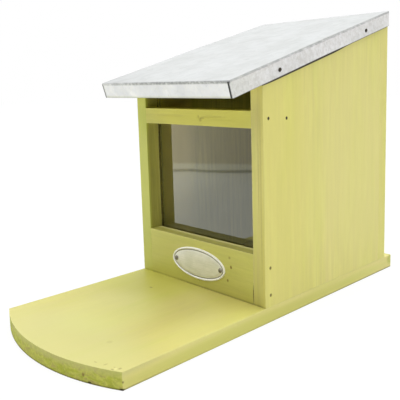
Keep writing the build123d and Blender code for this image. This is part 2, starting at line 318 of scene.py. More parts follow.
# The landing board's front edge: an arc that rises so far over the board's width
ARC_RISE = 17.0
arc_radius = (board_high.x ** 2 + ARC_RISE ** 2) / (2 * ARC_RISE)
BOARD_ARC = (arc_radius, (0.0, board_low.y + arc_radius, 0.0))

# Paint tones as the camera sees them in plain light
PAINT = srgb(219, 212, 119)
PAINT_BEIGE = srgb(222, 211, 133)
PAINT_LIME = srgb(214, 213, 108)
# Paler, bluer tone for a painted sheen
PAINT_SHEEN = srgb(198, 194, 122)
PAINT_SHADED = srgb(209, 208, 94)
# Lighter tone of worn paint, also used as a painted highlight and painted light
PAINT_WORN_AND_HIGHLIT = srgb(232, 226, 158)
END_GRAIN = srgb(187, 190, 79)
END_GRAIN_LIME = srgb(173, 181, 54)
END_GRAIN_BROWN = srgb(170, 160, 84)
BARE_WOOD = srgb(134, 112, 58)
KNOT = srgb(122, 98, 26)
OLIVE = srgb(96, 92, 34)
BROWN = srgb(118, 100, 46)
# Dark tone for dirt, also used for painted shade and shadow
DIRT_AND_SHADE = srgb(52, 44, 22)
PAINT_DULL = srgb(206, 196, 124)
PAINT_FRESH = srgb(224, 220, 132)
PAINT_TAN = srgb(210, 196, 136)
# Tints of the painted shade inside the house and low on its front
CHAMBER_SHADE_TINT = srgb(255, 252, 232)
FOOT_SHADE_TINT = srgb(232, 228, 206)

# Marks in these tones are also a little sunk
SUNKEN_TONES = (DIRT_AND_SHADE, BROWN, BARE_WOOD, KNOT)
RAGGED_RADIUS = 4.0

# The painted shadow under the side flanges: how far below the sheet it ends, and where it is widest
GAP_SHADOW_DEPTH = 13.9
GAP_SHADOW_MIDDLE = 32.0

AXIS = {"x": 0, "y": 1, "z": 2}

# Stretches an axis so far that it adds nothing to a distance
ANY = 1e6


class Grain:
    """Patterns of one board, from broad bands to brush marks, most of them drawn out along its grain."""

    def __init__(self, f, axis, seed):
        self.f = f
        self.axis = AXIS[axis]
        self.offset = (seed * 3.7, seed * 5.3, seed * 2.9)
        self.bands = self.drawn_out(24.0, 150.0, detail=3.0, roughness=0.55, distortion=0.6)
        self.boards = self.drawn_out(9.0, 60.0, roughness=0.6, distortion=0.9)
        self.streaks = self.drawn_out(3.4, 110.0, detail=3.0, roughness=0.6, distortion=0.3)
        self.lines = self.drawn_out(1.7, 34.0, detail=3.0, roughness=0.65, distortion=0.4)
        self.brush = self.drawn_out(0.9, 14.0, roughness=0.6)
        self.clouds = self.in_cells((42.0, 42.0, 42.0))
        self.ragged = self.in_cells((2.2, 2.2, 2.2), detail=3.0, roughness=0.65)
        self.patches = self.in_cells((9.0, 9.0, 5.0), detail=3.0, roughness=0.6, distortion=0.8)
        self.pores = self.in_cells((2.6, 2.6, 2.0), detail=3.0, roughness=0.7)

    def in_cells(self, cell, **looks):
        return self.f.noise(self.f.place(cell, self.offset), **looks)

    def drawn_out(self, across, along, **looks):
        cell = [across, across, across]
        cell[self.axis] = along
        return self.in_cells(cell, **looks)


def edge_distance(f, spot, low, high, arc=None):
    """Distance in millimetres from a face's nearest edge; the face's own axis counts nothing."""
    insets = []
    for value, bottom, top in zip(f.axes(spot), low, high):
        insets.append((top - bottom) / 2 - abs(value - (bottom + top) / 2))
    if arc:
        radius, centre = arc
        insets[1] = insets[1].lower(radius - f.distance(spot, centre, (1.0, 1.0, ANY)))
    farthest = insets[0].higher(insets[1]).higher(insets[2])
    return insets[0] + insets[1] + insets[2] - farthest


def paint_colour(f, grain, lime, banded, grainy, fine, broad):
    """Lime to beige in broad soft bands, lighter and darker in fine streaks."""
    colour = f.mix((grain.bands + (lime - 0.5)).ramp(0.3, 0.7), PAINT_BEIGE, PAINT_LIME)
    colour = f.mix(banded, PAINT, colour)
    colour = f.mix(grain.boards.ramp(0.44, 0.6) * 0.22 * broad, colour, PAINT_DULL)
    colour = f.mix(grain.boards.ramp(0.36, 0.48, 1.0, 0.0) * 0.3 * broad, colour, PAINT_FRESH)
    colour = f.mix(grain.lines.ramp(0.52, 0.74) * 0.14 * grainy, colour, PAINT_TAN)
    fine_streaks = ((grain.lines - 0.5) * 0.2 + (grain.brush - 0.5) * 0.1) * fine
    brightness = 1.0 + ((grain.streaks - 0.5) * 0.16 + fine_streaks) * grainy
    return f.shade(colour, brightness + (grain.clouds - 0.5) * 0.05 + (grain.ragged - 0.5) * 0.07)


def soak_end_grain(f, grain, end, colour):
    """End grain soaks up more paint, in patches."""
    soaked = f.mix(grain.patches.ramp(0.5, 0.58), END_GRAIN, END_GRAIN_LIME)
    soaked = f.mix(grain.patches.ramp(0.38, 0.46, 1.0, 0.0) * 0.85, soaked, END_GRAIN_BROWN)
    soaked = f.shade(soaked, 1.0 + (grain.pores - 0.5) * 1.1)
    return f.mix(end * 0.85, colour, soaked)


def paint_chamber_shade(f, grain, spot, colour, inside, grainy):
    """Painted shade inside the house, most of all over the rail's top."""
    x, y, z = f.axes(spot)
    chamber_shade = abs(x).ramp(INNER_SIDE + 0.1, INNER_SIDE + 0.4, 1.0, 0.0)
    chamber_shade = chamber_shade * y.ramp(HOUSE_FRONT + 0.2, HOUSE_FRONT + 0.5)
    chamber_shade = chamber_shade * y.ramp(INNER_BACK - 0.1, INNER_BACK + 0.2, 1.0, 0.0)
    chamber_shade = chamber_shade * z.ramp(BOARD_TOP - 0.2, BOARD_TOP - 0.1)
    over_rail_shade = z.ramp(RAIL_TOP - 2.0, RAIL_TOP + 1.0, 1.0, 0.93)
    streaky = (grain.lines + grain.streaks - 1.0) * 0.25 * grainy
    colour = f.tint(chamber_shade, colour, CHAMBER_SHADE_TINT)
    return f.shade(colour, 1.0 - chamber_shade * (1.0 - inside * over_rail_shade - streaky))


def shade_and_soil_feet(f, spot, colour):
    """Painted shade low on the house's front, a dark line at its foot, and a painted contact shadow with
    dirt along the very bottom.
    """
    y, z = f.axes(spot)[1:]
    front = y.ramp(HOUSE_FRONT + 0.1, HOUSE_FRONT + 0.4, 1.0, 0.0)
    over_board = front * z.ramp(BOARD_TOP - 0.1, BOARD_TOP)
    # Painted shade, darkest just over the board and fading up the lower front
    colour = f.tint(over_board * z.ramp(BOARD_TOP, BOARD_TOP + 16.0, 1.0, 0.0) * 0.5, colour, FOOT_SHADE_TINT)
    colour = f.shade(colour, 1.0 - over_board * z.ramp(BOARD_TOP + 13.0, BOARD_TOP + 88.0, 1.0, 0.2) * 0.1)
    foot_line = front * z.ramp(BOARD_TOP + 0.05, BOARD_TOP + 0.15)
    foot_line = foot_line * z.ramp(BOARD_TOP + 0.4, BOARD_TOP + 2.0, 1.0, 0.0)
    colour = f.mix(foot_line * 0.55, colour, OLIVE)
    joint = abs(z - (BOARD_TOP + 0.3)).ramp(0.1, 0.5, 1.0, 0.0)
    joint = joint * y.ramp(HOUSE_FRONT - 0.5, HOUSE_FRONT + 0.3)
    # Painted contact shadow and dirt at the very bottom, and a faint seam on the board along the house
    ground_shadow_and_dirt = z.ramp(0.5, 1.5, 1.0, 0.0)
    return f.mix((ground_shadow_and_dirt + joint * 0.1).lower(1.0) * 0.75, colour, OLIVE)


def add_marks(f, grain, spot, colour, marks):
    """Adds knots, dirt, worn places, and painted shade, light and sheen. Returns the colour and how far the
    dark ones are sunk.
    """
    sunk = 0.0
    for centre, radius, stretch, tone, share in marks:
        reach = f.distance(spot, centre, stretch) + (grain.ragged - 0.5) * min(radius, RAGGED_RADIUS) * 0.6
        inside = reach.ramp(radius * 0.35, radius, 1.0, 0.0)
        colour = f.mix(inside * share, colour, tone)
        if tone in SUNKEN_TONES:
            sunk = sunk + inside * 0.7
    return colour, sunk


def paint_gap_shadow(f, spot, colour):
    """Painted shadow in the gap under the roof's side flanges, widest in the middle."""
    x, y, z = f.axes(spot)
    under_sheet = ROOF_EDGE.z + (y - ROOF_EDGE.y) * tan(ROOF_SLOPE) - z
    gap_end = GAP_SHADOW_DEPTH + abs(y - GAP_SHADOW_MIDDLE).ramp(36.0, 62.0, 0.9, 0.0)
    gap = (under_sheet - gap_end).ramp(0.0, 0.5, 1.0, 0.0) * under_sheet.ramp(10.0, 11.0)
    return f.mix(gap * abs(x).ramp(OUTER_SIDE - 1.0, OUTER_SIDE - 0.5), colour, DIRT_AND_SHADE)


# inside: how much of the paint's brightness the painted shade inside the house keeps
def painted_wood(node, along, seed, marks=(), arc=None, inside=0.8, gloss=0.42, coat=0.0, lime=0.5,
                 banded=0.7, grainy=1.0, fine=1.0, broad=0.4, edge=(PAINT_WORN_AND_HIGHLIT, 0.4)):
    """Satin paint on planed softwood: streaks along the grain, end grain, worn edges with a painted
    highlight, knots and marks, and painted shade inside the house, low on its front and under the roof's
    side flanges.
    """
    f = finish("painted_wood_" + node)
    spot = f.place()
    height = f.axes(spot)[2]
    grain = Grain(f, along, seed)
    end = abs(f.normal()[grain.axis]).ramp(0.5, 0.75)
    colour = paint_colour(f, grain, lime, banded, grainy, fine, broad)
    colour = soak_end_grain(f, grain, end, colour)
    colour = paint_chamber_shade(f, grain, spot, colour, inside, grainy)
    colour = shade_and_soil_feet(f, spot, colour)

    # Rubbed edges, lighter as worn paint and as a painted highlight, and chipped edges
    tone, share = edge
    rim = edge_distance(f, spot, *box_in_mm(node), arc)
    rubbed_and_highlit = rim.ramp(0.15, 0.9, 1.0, 0.0) * grain.ragged.ramp(0.3, 0.6, 0.3, 1.0)
    colour = f.mix(rubbed_and_highlit * height.ramp(2.0, 4.0) * share, colour, tone)
    chips = rim.ramp(0.3, 1.4, 1.0, 0.0) * grain.ragged.ramp(0.68, 0.74)
    colour = f.mix(chips * 0.6, colour, BARE_WOOD)

    colour, sunk = add_marks(f, grain, spot, colour, marks)
    colour = paint_gap_shadow(f, spot, colour)
    raised = grain.streaks * 0.5 + grain.lines * 0.8 + grain.brush * 0.4 + end * grain.pores * 0.9
    shader = f.add("BsdfPrincipled", None, {
        "Base Color": colour,
        "Roughness": 0.48 + grain.streaks * 0.12 + end * 0.3 + chips * 0.1,
        "Specular IOR Level": gloss,
        "Coat Weight": (1.0 - end) * coat if coat else 0.0,
        "Coat Roughness": 0.4,
        "Normal": f.bump(raised - (chips * 0.6 + sunk) * 1.6, 0.0002, 0.5),
    })
    return f.end(shader)


def at_front(place):
    """Whether a place is on the sheet's front flange."""
    return abs(place.y) < HAIR


def at_rear(place):
    """Whether a place is on the plumb rear flange, which leans while the sheet lies flat."""
    return abs(place.y - roof_run - place.z * tan(ROOF_SLOPE)) < HAIR


def fold_down(rows, lean=0.0):
    """Extrudes what is selected down, row by row."""
    for row in rows:
        draw_out(y=-row * lean, z=-row)


def fold_front_flange(sheet):
    """Front flange, with a slit under the fold between it and the tabs of the side flanges."""
    bend, *rest = FLANGE_ROWS
    choose_edges(sheet, at_front)
    draw_out(z=-bend)

    def under_bend(place):
        return at_front(place) and place.z < HAIR - bend

    choose_edges(sheet, lambda place: under_bend(place) and abs(place.x) < half_sheet - TAB - SLIT + HAIR)
    fold_down(rest)
    for side in (-1, 1):
        def in_tab(place):
            return under_bend(place) and place.z > -bend - HAIR and side * place.x > half_sheet - TAB - HAIR

        choose_edges(sheet, in_tab)
        fold_down(rest)


def fold_other_flanges(sheet):
    """Side flanges, cut off plumb at the rear, and the plumb rear flange between them."""
    for side in (-1, 1):
        choose_edges(sheet, lambda place: abs(place.x - side * half_sheet) < HAIR and abs(place.z) < HAIR)
        fold_down(FLANGE_ROWS)
    bpy.ops.mesh.select_all(action="SELECT")
    plumb = (0, cos(ROOF_SLOPE), -sin(ROOF_SLOPE))
    bpy.ops.mesh.bisect(plane_co=(0, roof_run, 0), plane_no=plumb, clear_outer=True)
    choose_edges(sheet, lambda place: place.y > roof_run - HAIR and abs(place.z) < HAIR)
    fold_down(FLANGE_ROWS, lean=tan(ROOF_SLOPE))


def is_fold(edge):
    """Whether an edge lies along a fold of the sheet, or up one of its closed corners."""
    a, b = [end.co for end in edge.verts]
    steep = any(face.normal.z < 0.5 for face in edge.link_faces)
    flat = any(face.normal.z > 0.5 for face in edge.link_faces)
    at_side = abs(a.x - b.x) < HAIR and abs(a.x) > half_sheet - HAIR
    at_end = (at_front(a) and at_front(b)) or (at_rear(a) and at_rear(b))
    return (steep and flat) or (at_side and at_end and len(edge.link_faces) == 2)


def bulge_flanges(sheet):
    """The side flanges stand out a little between their nails."""
    for side in (-1, 1):
        def middle_of_hem(vertex):
            x, y, z = vertex.co
            on_hem = side * x > half_sheet - HAIR and z < HAIR - sum(FLANGE_ROWS)
            return on_hem and abs(y - roof_run / 2) < BULGE_CORE

        choose(sheet, "VERT", middle_of_hem)
        shift(x=side * BULGE, z=BULGE, reach=BULGE_REACH)


def roof_cover():
    """Sheet folded over the lid board. It is made flat: x across, y up the slope, z square to the slope."""
    grid = bpy.ops.mesh.primitive_grid_add
    sheet = begin("roof_cover", grid, x_subdivisions=24, y_subdivisions=34, size=1.0)
    bpy.ops.transform.resize(value=(2 * half_sheet, roof_run, 1.0))
    shift(y=roof_run / 2)
    for side in (-1, 1):
        for inset in (TAB, TAB + SLIT):
            bpy.ops.mesh.select_all(action="SELECT")
            bpy.ops.mesh.bisect(plane_co=(side * (half_sheet - inset), 0, 0), plane_no=(1, 0, 0))
    fold_front_flange(sheet)
    fold_other_flanges(sheet)
    mend()
    choose(sheet, "EDGE", is_fold)
    bpy.ops.mesh.bevel(offset=FOLD_RADIUS, segments=4, affect="EDGES")
    bulge_flanges(sheet)
    bpy.ops.object.mode_set(mode="OBJECT")
    ripple = bpy.data.textures.new("ripple", "CLOUDS")
    ripple.noise_scale = WAVE_LENGTH
    treat(sheet, "DISPLACE", texture=ripple, strength=WAVE, mid_level=1.0)
    treat(sheet, "SOLIDIFY", thickness=SHEET, offset=-1.0, use_even_offset=True)
    settle(sheet, turn=(ROOF_SLOPE, 0, 0), place=roof_front)
    return sheet


# Tones of the bare metal, of soot with a painted shadow, and of the painted shade in the slits
ZINC = srgb(239, 239, 240)
ZINC_DULL = srgb(231, 231, 231)
ZINC_RUBBED = srgb(138, 140, 140)
HEM_TONE = srgb(96, 96, 90)
SLIT_SHADE = srgb(34, 34, 32)
SOOT_AND_SHADOW = srgb(28, 26, 24)

# How deep under the sheet's top its folds are rubbed
FOLD_DEPTH = 0.9


def galvanised_sheet():
    """Pale zinc: faint spangle, streaks down the slope, grey worn folds and sooty nail holes with a painted
    shadow; painted shade on the top, the rear flange and in the slits, and a painted reflection of the board
    low on the front flange.
    """
    f = finish("galvanised_sheet")
    from_edge = f.add("Mapping", None, {"Vector": f.place(), "Location": [-value for value in ROOF_EDGE]})
    along = f.add("Mapping", None, {"Vector": from_edge, "Rotation": (-ROOF_SLOPE, 0.0, 0.0)})
    x, run, depth = f.axes(along)
    cells = {"Vector": f.place((6.0, 6.0, 6.0)), "Scale": 1.0}
    flakes = f.axes(f.add("TexVoronoi", {"feature": "F1"}, cells, output="Color"))[0]
    rolled = f.add("Mapping", None, {"Vector": along, "Scale": (0.16, 0.006, 0.1)})
    streaks = f.noise(rolled, detail=3.0, roughness=0.6)
    smudges = f.cloud(30.0, detail=3.0, roughness=0.55, distortion=0.6)
    scuffs = f.noise(f.place((2.4, 8.0, 2.4)), detail=3.0, roughness=0.65)
    mottle = f.cloud(3.0, detail=3.0, roughness=0.7)

    # Which of the sheet's faces a place is on
    on_top = depth.ramp(-0.8, -0.3)
    under_fold = depth.ramp(-1.6, -0.9, 1.0, 0.0)
    on_side = abs(x).ramp(ROOF_SIDE - 0.8, ROOF_SIDE - 0.4)
    on_front = run.ramp(0.0, 0.4, 1.0, 0.0) * under_fold
    on_rear = (run - depth * tan(ROOF_SLOPE) - ROOF_RUN).ramp(-0.6, -0.2) * under_fold
    from_hem = depth + FLANGE

    # Painted shade on the top and on the rear flange, the top darker still toward its front left corner;
    # each other face in its own tone, and what is spread over all of them
    colour = f.mix(smudges.ramp(0.36, 0.66), ZINC, ZINC_DULL)
    colour = f.tint(on_top, colour, srgb(220, 222, 220))
    colour = f.tint(on_rear, colour, srgb(226, 227, 227))
    left_corner = x.ramp(-76.0, -6.0, 0.9, 0.0) * run.ramp(0.0, 50.0, 1.0, 0.0)
    colour = f.tint(on_top * left_corner, colour, srgb(236, 236, 236))
    colour = f.tint(flakes.ramp(0.25, 0.85) * 0.12, colour, srgb(216, 218, 218))
    colour = f.tint(streaks.ramp(0.46, 0.66) * 0.1, colour, srgb(230, 230, 228))
    colour = f.tint(scuffs.ramp(0.60, 0.76) * 0.2, colour, srgb(184, 184, 182))
    colour = f.tint(on_side * mottle.ramp(0.3, 0.7, 0.0, 0.8), colour, srgb(230, 228, 224))
    colour = f.tint(on_side, colour, srgb(253, 252, 250))
    colour = f.tint(on_side * run.ramp(5.0, 55.0, 1.0, 0.0), colour, srgb(246, 247, 242))
    colour = f.tint(on_front * (mottle + smudges).ramp(0.8, 1.2, 0.3, 1.0), colour, srgb(245, 247, 255))
    # Painted reflection of the yellow board, low on the front flange
    colour = f.tint(on_front * from_hem.ramp(0.3, 2.4, 0.6, 0.0), colour, srgb(216, 218, 180))

    # Folds are rubbed grey, and the front one is creased dark
    below_fold = abs(depth + FOLD_DEPTH)
    crease = run.ramp(0.3, 0.9, 1.0, 0.0) * below_fold.ramp(0.7, 2.0, 1.0, 0.0)
    crease = crease * x.ramp(-90.0, -10.0, 0.45, 1.0) * mottle.ramp(0.3, 0.6, 0.35, 0.85)
    side_fold = on_side * below_fold.ramp(0.5, 1.4, 1.0, 0.0) * scuffs.ramp(0.34, 0.6, 0.15, 0.6)
    colour = f.mix((crease + side_fold).lower(1.0), colour, ZINC_RUBBED)

    # Painted shade in the slits at the front corners, the dark hem, and soot with a painted shadow around
    # the nails
    slit = abs(abs(x) - (ROOF_SIDE - (TAB + SLIT / 2) * PER_METRE)).ramp(0.6, 1.1, 1.0, 0.0)
    slit = slit * run.ramp(0.6, 1.2, 1.0, 0.0) * depth.ramp(-1.4, -0.9, 1.0, 0.0)
    colour = f.mix(slit * x.ramp(-1.0, 1.0, 0.55, 0.92), colour, SLIT_SHADE)
    colour = f.mix(from_hem.ramp(0.0, 0.6, 1.0, 0.0) * 0.6, colour, HEM_TONE)
    for share in ROOF_NAIL_SHARES:
        reach = f.distance(along, (0.0, share * ROOF_RUN, -ROOF_NAIL_DROP), (ANY, 1.15, 1.0))
        colour = f.mix(reach.ramp(1.2, 1.8, 1.0, 0.0) * on_side * 0.95, colour, SOOT_AND_SHADOW)

    shader = f.add("BsdfPrincipled", None, {
        "Base Color": colour,
        "Metallic": 0.6 - on_side * 0.25,
        "Roughness": 0.42 + smudges * 0.16 + flakes * 0.08,
        "Normal": f.bump(smudges * 1.2 + scuffs * 0.15 + flakes * 0.12, 0.0005, 0.35),
    })
    return f.end(shader)


def clear_acrylic():
    """Clear sheet: gloss by angle over a clear body, with a thin uneven film of dust."""
    f = finish("clear_acrylic")
    smears = f.noise(f.place((30.0, 30.0, 55.0)), detail=3.0, roughness=0.55, distortion=0.8)
    wave = f.noise(f.place((60.0, 60.0, 30.0)), detail=1.0)
    normal = f.bump(wave, 0.0003, 0.2)
    outside = 1.0 - f.add("NewGeometry", output="Backfacing")
    gloss = f.add("Fresnel", None, {"IOR": 1.49, "Normal": normal})
    clear = f.add("BsdfTransparent", None, {"Color": (0.93, 0.93, 0.90, 1.0)})
    shine = f.add("BsdfPrincipled", None, {
        "Base Color": (0.97, 0.97, 0.95, 1.0),
        "Metallic": 1.0,
        "Roughness": 0.012 + smears * 0.02,
        "Normal": normal,
    })
    dust = smears.ramp(0.35, 0.75, 0.0, 0.012)
    return f.end(f.blend(((gloss * 3.2 + dust) * outside).lower(1.0), clear, shine))


def zinc(name, colour, darker, cell):
    """Plated steel, slightly cloudy, with tarnish in patches."""
    f = finish(name)
    clouds = f.cloud(cell, detail=3.0, roughness=0.6, distortion=0.5)
    grit = f.cloud(0.35, roughness=0.6)
    shader = f.add("BsdfPrincipled", None, {
        "Base Color": f.mix(clouds.ramp(0.35, 0.7), colour, darker),
        "Metallic": 0.9 - clouds * 0.3,
        "Roughness": 0.3 + clouds * 0.25,
        "Normal": f.bump(grit + clouds, 0.00008, 0.6),
    })
    return f.end(shader)


def nail_heads():
    """Small rusty heads, dark on the roof and at the rail, paler and smeared with paint lower down."""
    f = finish("nail_heads")
    grit = f.cloud(0.6, detail=3.0, roughness=0.6)
    height = f.axes(f.place())[2]
    painted = height.ramp(60.0, 100.0, 0.75, 0.1) + height.ramp(RAIL_TOP, RAIL_TOP + 10.0, 0.0, -0.1)
    bare = f.mix(grit.ramp(0.4, 0.6), srgb(64, 54, 30), srgb(38, 30, 16))
    shader = f.add("BsdfPrincipled", None, {
        "Base Color": f.mix(painted, bare, srgb(150, 136, 70)),
        "Metallic": 0.3 - painted * 0.2,
        "Roughness": 0.5 + grit * 0.2,
        "Normal": f.bump(grit, 0.0001, 0.6),
    })
    return f.end(shader)


# Stamped plate: how far inside its edge the dark line runs, and its rim ends
PLATE_LINE = 2.1
PLATE_RIM = 1.4

# Its edge, then the insets and rises from there to the field, and the field's crown
PLATE_EDGE = 0.75
PLATE_STEPS = (
    (0.25, 0.22), (0.35, 0.13), (0.4, 0.02), (0.35, -0.12),
    (0.25, -0.28), (0.12, -0.14), (0.3, 0.0), (0.2, 0.12),
)
CROWN_SHARES = (0.8, 0.72, 0.6)
CROWN_RISE = 0.05


def plate_metal():
    """Pale pearly stamped plate: a bright rim, a dark line inside it and a finely grained field."""
    f = finish("plate_metal")
    low, high = box_in_mm("oval_plate")
    centre = (low + high) / 2
    half = (high - low) / 2
    spot = f.place()

    # Distance inside the oval's edge, true close to it
    oval = f.distance(spot, centre, (half.x, ANY, half.z))
    inset = oval * (1.0 - oval) / f.distance(spot, centre, (half.x ** 2, ANY, half.z ** 2))
    line = abs(inset - PLATE_LINE).ramp(0.15, 0.5, 1.0, 0.0)
    rim = inset.ramp(PLATE_RIM, PLATE_RIM + 0.4, 1.0, 0.0)
    brushed = f.noise(f.place((9.0, 3.0, 0.35)), detail=3.0, roughness=0.6)
    clouds = f.noise(f.place((13.0, 13.0, 9.0)))
    field = f.mix(clouds.ramp(0.35, 0.65), srgb(228, 227, 216), srgb(240, 238, 230))
    field = f.tint(brushed.ramp(0.4, 0.7) * 0.25, field, srgb(200, 198, 184))
    colour = f.mix(rim, field, srgb(255, 254, 250))
    colour = f.mix(line * 0.85, colour, srgb(52, 46, 34))
    shader = f.add("BsdfPrincipled", None, {
        "Base Color": colour,
        "Metallic": 0.35 + line * 0.2 - rim * 0.25,
        "Roughness": 0.34 + brushed * 0.14,
        "Normal": f.bump(brushed, 0.00006, 0.5),
    })
    return f.end(shader)


def oval_plate():
    """Stamped oval plate: a rolled rim, a groove inside it and a slightly crowned field."""
    low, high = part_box("oval_plate")
    disc = bpy.ops.mesh.primitive_circle_add
    plate = begin("oval_plate_dressed", disc, vertices=128, radius=1.0, fill_type="NGON")
    bpy.ops.transform.resize(value=((high.x - low.x) / 2, (high.z - low.z) / 2, 1.0))
    draw_out(z=PLATE_EDGE * MM)
    for inward, rise in PLATE_STEPS:
        bpy.ops.mesh.inset(thickness=inward * MM, depth=rise * MM)
    for share in CROWN_SHARES:
        bpy.ops.mesh.extrude_region()
        bpy.ops.transform.resize(value=(share, share, 1.0))
        shift(z=CROWN_RISE * MM)
    mend()
    bpy.ops.object.mode_set(mode="OBJECT")
    seat = ((low.x + high.x) / 2, high.y, (low.z + high.z) / 2)
    settle(plate, turn=(pi / 2, 0, 0), place=seat, angle=50)
    return plate


# Camera: the eye, and the way it turns, in the frame's millimetres and degrees
EYE = Vector((353.3, -328.6, 180.3)) * MM
YAW = radians(43.81)
PITCH = radians(-8.06)
ROLL = radians(-1.10)
PHOTO_WIDTH = 400
FOCAL_PIXELS = 581.4
OPTICAL_CENTRE = (245.0, 165.0)
SENSOR = 36.0

ahead = Vector((-sin(YAW) * cos(PITCH), cos(YAW) * cos(PITCH), sin(PITCH)))
level = Vector((cos(YAW), sin(YAW), 0.0))
above = level.cross(ahead)
right = level * cos(ROLL) + above * sin(ROLL)
up = above * cos(ROLL) - level * sin(ROLL)
bpy.ops.object.camera_add()
camera = bpy.context.object
camera.matrix_world = Matrix.Translation(EYE) @ Matrix((right, up, -ahead)).transposed().to_4x4()
camera.data.sensor_width = SENSOR
camera.data.lens = FOCAL_PIXELS * SENSOR / PHOTO_WIDTH
camera.data.shift_x = (PHOTO_WIDTH / 2 - OPTICAL_CENTRE[0]) / PHOTO_WIDTH
camera.data.shift_y = (OPTICAL_CENTRE[1] - PHOTO_WIDTH / 2) / PHOTO_WIDTH
camera.data.clip_start = 0.01
bpy.context.scene.camera = camera


def studio_floor():
    """White sweep: white to the camera and in reflections, with the object's own shadow."""
    just_below = (0.0, 0.0, -0.0002)
    bpy.ops.mesh.primitive_circle_add(vertices=96, radius=6.0, fill_type="NGON", location=just_below)
    floor = bpy.context.object
    floor.name = "studio_floor"
    f = finish("studio_floor")
    seen = f.add("LightPath", output="Is Camera Ray").higher(f.add("LightPath", output="Is Glossy Ray"))
    pale = f.mix(f.cloud(400.0, detail=1.0), (0.74, 0.74, 0.73, 1.0), (0.77, 0.77, 0.76, 1.0))
    matt = f.add("BsdfDiffuse", None, {"Color": pale})
    glow = f.add("Emission", None, {"Color": (1.0, 1.0, 1.0, 1.0), "Strength": 1.04})
    wear(floor, f.end(f.blend(seen * 0.86, matt, glow)))


# How far the tent's brightest part leans back from straight above
TENT_TILT = radians(25.0)


def studio_world():
    """Soft tent, brightest high behind the object. The camera sees white, mirrors a dimmer right rear."""
    world = bpy.data.worlds.new("studio")
    bpy.context.scene.world = world
    f = Finish(world)
    cool_white = (0.97, 0.98, 1.0, 1.0)
    camera_ray = f.add("LightPath", output="Is Camera Ray")
    glossy_ray = f.add("LightPath", output="Is Glossy Ray")
    clear_ray = f.add("LightPath", output="Is Transmission Ray")
    across, along, height = f.axes(f.add("TexCoord", output="Generated"))
    high_behind = (height * cos(TENT_TILT) + along * sin(TENT_TILT)).higher(0.0) ** 3.0
    soft = f.add("Background", None, {"Color": cool_white, "Strength": high_behind * 3.0})
    white = f.add("Background", None, {"Color": (1.0, 1.0, 1.0, 1.0), "Strength": 1.0})
    dim = f.add("Background", None, {"Color": cool_white, "Strength": 0.9})
    far_side = (across * 0.75 + along * 0.6 + height * 0.15).ramp(-0.1, 0.9)
    mirrored = f.blend(far_side * glossy_ray, white, dim)
    f.end(f.blend(camera_ray.higher(glossy_ray).higher(clear_ray), soft, mirrored))


# Square lamps: where each hangs, in metres, how wide it is, and its watts
LAMP_AIM = Vector((0.0, 0.0, 0.1))
LAMPS = {
    "top": ((0.0, 0.0, 1.9), 1.4, 4.1),
    "top_front": ((0.0, -1.1, 1.5), 1.2, 12.7),
    "left": ((-1.7, -0.2, 0.7), 1.0, 4.3),
    "top_back": ((0.3, 1.2, 1.4), 1.2, 1.4),
    "right": ((1.8, 0.3, 0.8), 1.0, 4.6),
}


def softbox(name, place, width, watts):
    """Square lamp aimed at the object."""
    bpy.ops.object.light_add(type="AREA", location=place)
    lamp = bpy.context.object
    lamp.name = name
    lamp.data.shape = "SQUARE"
    lamp.data.size = width
    lamp.data.energy = watts
    lamp.rotation_euler = (LAMP_AIM - Vector(place)).to_track_quat("-Z", "Y").to_euler()


# Far edge of the table in front of the object, as the pane mirrors it
TABLE_EDGE = Vector((-518.7, -491.7, 0.3)) * MM
TABLE_TURN = radians(-30.4)
CARD_WIDTH = 0.62


def reflector(name, depth, tilt, paint_card):
    """Card at the table's edge, lying or standing, that only shiny surfaces see."""
    bpy.ops.mesh.primitive_grid_add(x_subdivisions=2, y_subdivisions=2, size=1.0)
    card = bpy.context.object
    card.name = name
    for corner in card.data.vertices:
        corner.co = (corner.co.x * CARD_WIDTH, (corner.co.y + 0.5) * depth, 0.0)
    card.location = TABLE_EDGE
    card.rotation_euler = (tilt, 0.0, TABLE_TURN)
    for ray in ("camera", "diffuse", "transmission", "volume_scatter", "shadow"):
        setattr(card, "visible_" + ray, False)
    f = finish(name)
    x, y = f.axes(f.place())[:2]
    colour, strength = paint_card(f, x, y)
    wear(card, f.end(f.add("Emission", None, {"Color": colour, "Strength": strength})))


def room_card(f, across, height):
    """The dim warm room behind the table's edge, brighter to the left and just over the table."""
    folds = f.noise(f.place((20.0, 160.0, 20.0)), detail=1.0)
    level = across.ramp(-110.0, 90.0, 1.58, 1.03) * (0.92 + folds * 0.16)
    level = level * height.ramp(13.0, 19.0, 1.3, 1.0) * height.ramp(1.5, 5.5, 0.55, 1.0)
    return f.mix(height.ramp(12.0, 20.0), srgb(222, 222, 200), srgb(222, 216, 190)), level


def table_card(f, across, depth):
    """The grey table top, with a dark wavy line along its far edge."""
    waves = f.cloud(36.0)
    patches = f.noise(f.place((60.0, 120.0, 60.0)))
    line = (depth + (waves - 0.5) * 14.0).ramp(6.0, 26.0, 1.0, 0.0) * across.ramp(-110.0, 60.0, 0.7, 1.0)
    level = across.ramp(-110.0, 110.0, 2.05, 1.44) * depth.ramp(0.0, 120.0, 0.92, 1.0)
    level = level * (0.94 + patches * 0.12) * (1.0 - line * 0.5)
    return f.mix(depth.ramp(0.0, 160.0), srgb(226, 227, 210), srgb(226, 228, 216)), level


studio_floor()
studio_world()
for name, lamp in LAMPS.items():
    softbox(name, *lamp)
reflector("room_reflector", 0.16, pi / 2, room_card)
reflector("table_reflector", 0.5, 0.0, table_card)
bpy.context.scene.view_settings.view_transform = "Standard"

